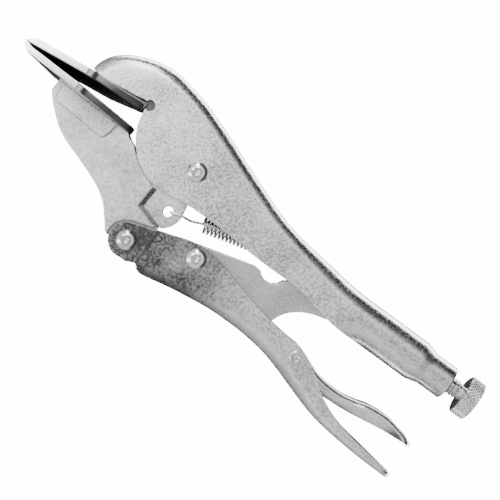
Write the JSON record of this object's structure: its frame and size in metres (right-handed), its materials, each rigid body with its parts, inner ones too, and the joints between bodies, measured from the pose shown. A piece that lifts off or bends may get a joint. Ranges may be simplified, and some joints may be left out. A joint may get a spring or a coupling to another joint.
{
  "type": "locking pliers",
  "caption": "Sheet metal locking pliers: two wide flat blades, a toggle link, a release lever, a return spring and an adjusting screw at the handle's end.",
  "frame": {"origin": "middle of the whole tool's bounding box, in the plane that the handles move in", "axes": "+X along the adjusting screw towards its knob, +Y towards the fixed handle in the plane that the handles move in, +Z square to that plane, so the tool lies on its side"},
  "size_m": [0.2056, 0.0748, 0.0794],
  "materials": {
    "nickel_sheet": "satin nickel plate over pressed sheet, fine grain",
    "nickel_smooth": "smooth nickel plate",
    "nickel_forging": "nickel plate over a forged skin, grainy",
    "nickel_blade": "bright nickel plate",
    "plated_thread": "plated, rolled thread",
    "plated_knurl": "plated, diamond knurl",
    "rivet_steel": "bright plate, domed",
    "spring_wire": "drawn wire"
  },
  "bodies": {
    "fixed_half": {"fixed_handle": "nickel_sheet", "fixed_jaw": "nickel_forging", "upper_blade": "nickel_blade", "main_rivet": "rivet_steel", "spring_anchor": "rivet_steel", "return_spring": "spring_wire"},
    "jaw": {"movable_jaw": "nickel_forging", "lower_blade": "nickel_blade", "blade_cheek_near": "nickel_forging", "blade_cheek_far": "nickel_forging"},
    "handle": {"movable_handle": "nickel_sheet", "jaw_rivet": "rivet_steel", "toggle_rivet": "rivet_steel", "lever_rivet": "rivet_steel"},
    "link": {"toggle_link": "nickel_smooth"},
    "lever": {"release_lever": "nickel_smooth"},
    "screw": {"adjusting_screw": "plated_thread"},
    "knob": {"adjusting_knob": "plated_knurl"}
  },
  "joints": [
    {"name": "jaw_pivot", "type": "hinge", "parent": "fixed_half", "child": "jaw", "pos_m": [-0.0302, 0.012, 0], "axis": [0, 0, 1], "range_deg": [0, 20], "deforming": ["return_spring"]},
    {"name": "handle_pivot", "type": "hinge", "parent": "jaw", "child": "handle", "pos_m": [-0.0365, -0.0232, 0], "axis": [0, 0, 1], "range_deg": [-70, 0]},
    {"name": "link_pivot", "type": "hinge", "parent": "handle", "child": "link", "pos_m": [-0.0118, -0.0136, 0], "axis": [0, 0, 1], "range_deg": [0, 72]},
    {"name": "lever_pivot", "type": "hinge", "parent": "handle", "child": "lever", "pos_m": [0.0387, -0.0212, 0], "axis": [0, 0, 1], "range_deg": [-8, 0]},
    {"name": "screw_feed", "type": "slide", "parent": "fixed_half", "child": "screw", "axis": [1, 0, 0], "range_m": [0, 0.01128]},
    {"name": "knob_turn", "type": "hinge", "parent": "screw", "child": "knob", "pos_m": [0.0968, 0.0042, 0], "axis": [1, 0, 0], "range_deg": [0, 2880]}
  ],
  "couplings": [
    {"joint": "handle_pivot", "follows": "jaw_pivot", "ratio": -3.465},
    {"joint": "link_pivot", "follows": "jaw_pivot", "ratio": 3.565},
    {"joint": "knob_turn", "follows": "screw_feed", "rad_per_m": 4456.1}
  ]
}
